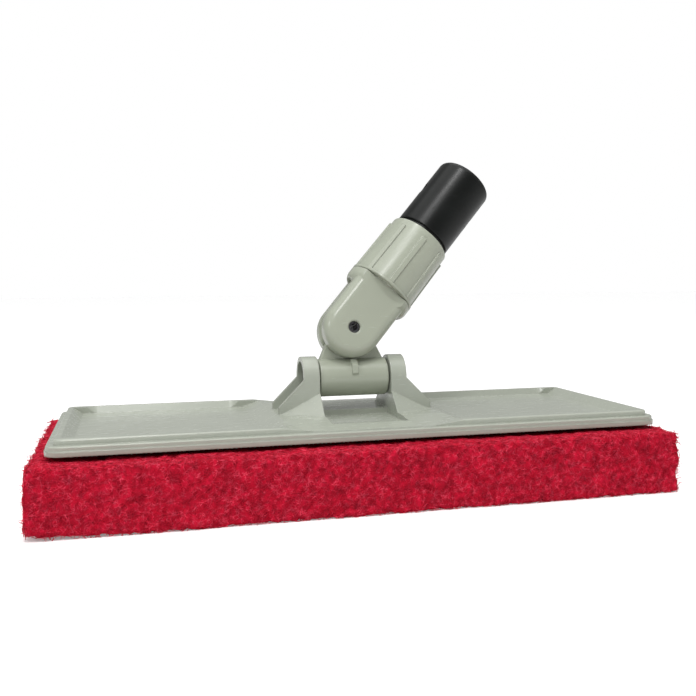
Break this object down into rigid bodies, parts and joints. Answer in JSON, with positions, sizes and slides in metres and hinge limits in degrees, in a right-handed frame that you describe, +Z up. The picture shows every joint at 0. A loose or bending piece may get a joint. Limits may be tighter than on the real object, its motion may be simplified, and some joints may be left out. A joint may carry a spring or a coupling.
{
  "type": "swivel scrub pad holder",
  "caption": "Hand-pole scrub pad holder: moulded plate on a thick non-woven pad, a two-axis swivel joint and a ribbed screw collar that holds the pole sleeve.",
  "frame": {"origin": "centre of the pad's bottom face", "axes": "+X along the plate, to the side the head leans to; +Y across the plate, away from the front; +Z up"},
  "size_m": [0.25, 0.115, 0.1391],
  "materials": {
    "pad_fibre": "open non-woven fibre web bonded with resin, dull with glinting strands",
    "hook_strip": "stiff moulded hooks",
    "plate_plastic": "semi-gloss moulded plastic",
    "block_plastic": "semi-gloss moulded plastic",
    "yoke_plastic": "semi-gloss moulded plastic",
    "collar_plastic": "semi-gloss moulded plastic",
    "sleeve_plastic": "satin black moulded plastic",
    "pin_steel": "dull steel",
    "retainer_steel": "dull steel"
  },
  "bodies": {
    "base": {"base_plate": "plate_plastic", "scrub_pad": "pad_fibre", "hook_strip_front": "hook_strip", "hook_strip_rear": "hook_strip", "base_pin": "pin_steel", "base_pin_retainer": "retainer_steel"},
    "swivel_block": {"swivel_block": "block_plastic"},
    "yoke": {"yoke": "yoke_plastic", "yoke_pin": "pin_steel"},
    "pole_sleeve": {"pole_sleeve": "sleeve_plastic"},
    "locking_collar": {"locking_collar": "collar_plastic"}
  },
  "joints": [
    {"name": "head_tilt", "type": "hinge", "parent": "base", "child": "swivel_block", "pos_m": [0, 0, 0.0457], "axis": [1, 0, 0], "range_deg": [-69, 91]},
    {"name": "yoke_lean", "type": "hinge", "parent": "swivel_block", "child": "yoke", "pos_m": [0, 0.00382, 0.06533], "axis": [0, 0.9816, -0.1908], "range_deg": [-115.7, 34.3]},
    {"name": "sleeve_lift", "type": "slide", "parent": "yoke", "child": "pole_sleeve", "axis": [0.6521, 0.1447, 0.7442], "range_m": [0, 0.005]},
    {"name": "collar_turn", "type": "hinge", "parent": "pole_sleeve", "child": "locking_collar", "pos_m": [0.02478, 0.00931, 0.09361], "axis": [0.6521, 0.1447, 0.7442], "range_deg": [0, 720]}
  ],
  "couplings": [
    {"joint": "collar_turn", "follows": "sleeve_lift", "rad_per_m": 2513.3}
  ]
}
